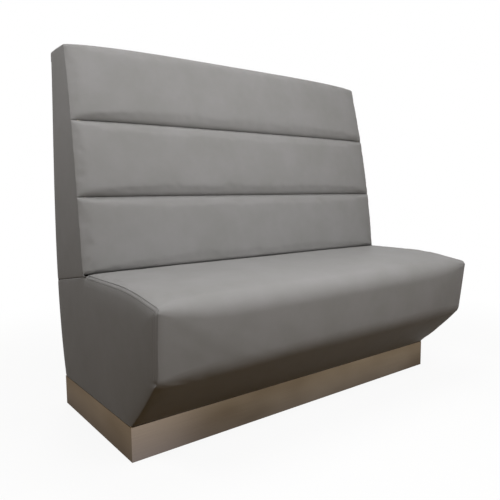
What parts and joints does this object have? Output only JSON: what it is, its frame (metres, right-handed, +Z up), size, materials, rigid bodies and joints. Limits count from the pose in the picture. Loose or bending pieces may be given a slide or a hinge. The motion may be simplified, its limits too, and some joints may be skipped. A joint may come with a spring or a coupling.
{
  "type": "restaurant booth seating",
  "caption": "Upholstered booth bench with a cut-back seat box on a steel-clad plinth and a tall reclined back with horizontal sewn channels.",
  "frame": {"origin": "on the floor, under the middle of the bench's bounding box", "axes": "+X along the bench to the sitter's left, +Y to the rear of the bench, +Z up; the sitter faces -Y"},
  "size_m": [1.2, 0.65, 1.09],
  "materials": {
    "vinyl": "satin",
    "brushed_steel": "satin",
    "plywood": "matte",
    "softwood": "matte",
    "foam": "matte",
    "wadding": "matte",
    "rear_lining": "matte",
    "zinc_plate": "satin"
  },
  "bodies": {
    "root": {"back_base_board": "plywood", "back_bolt_washers": "zinc_plate", "back_bolts": "zinc_plate", "back_cap_board": "plywood", "back_channel_foam_bottom": "foam", "back_channel_foam_middle": "foam", "back_channel_foam_top": "foam", "back_cover_bottom_panel": "vinyl", "back_cover_middle_panel": "vinyl", "back_cover_top_panel": "vinyl", "back_cover_top_strip": "vinyl", "back_end_panel_left": "plywood", "back_end_panel_right": "plywood", "back_face_board": "plywood", "back_foam_sheet": "foam", "back_middle_rail": "softwood", "back_rear_lining": "rear_lining", "back_rib_left": "plywood", "back_rib_right": "plywood", "back_side_cover_left": "vinyl", "back_side_cover_right": "vinyl", "back_side_wadding_left": "wadding", "back_side_wadding_right": "wadding", "back_tee_nuts": "zinc_plate", "back_top_wadding": "wadding", "frame_screws": "zinc_plate", "kick_plate_front": "brushed_steel", "kick_plate_left": "brushed_steel", "kick_plate_right": "brushed_steel", "plinth_cross_rail_left": "softwood", "plinth_cross_rail_right": "softwood", "plinth_front_rail": "softwood", "plinth_glue_blocks": "softwood", "plinth_left_rail": "softwood", "plinth_rear_rail": "softwood", "plinth_right_rail": "softwood", "rear_lining_screws": "zinc_plate", "seat_base_board": "plywood", "seat_cover_wrap": "vinyl", "seat_deck_board": "plywood", "seat_end_panel_left": "plywood", "seat_end_panel_right": "plywood", "seat_foam": "foam", "seat_ledge_board": "plywood", "seat_ledge_rail": "softwood", "seat_nose_board": "plywood", "seat_nose_foam": "foam", "seat_rear_bottom_rail": "softwood", "seat_rear_lining": "rear_lining", "seat_rear_top_rail": "softwood", "seat_rib_left": "plywood", "seat_rib_right": "plywood", "seat_seam_tape_left": "vinyl", "seat_seam_tape_right": "vinyl", "seat_side_cover_left": "vinyl", "seat_side_cover_right": "vinyl", "seat_side_wadding_left": "wadding", "seat_side_wadding_right": "wadding", "seat_slant_board": "plywood", "seat_slant_foam": "foam"}
  },
  "joints": []
}
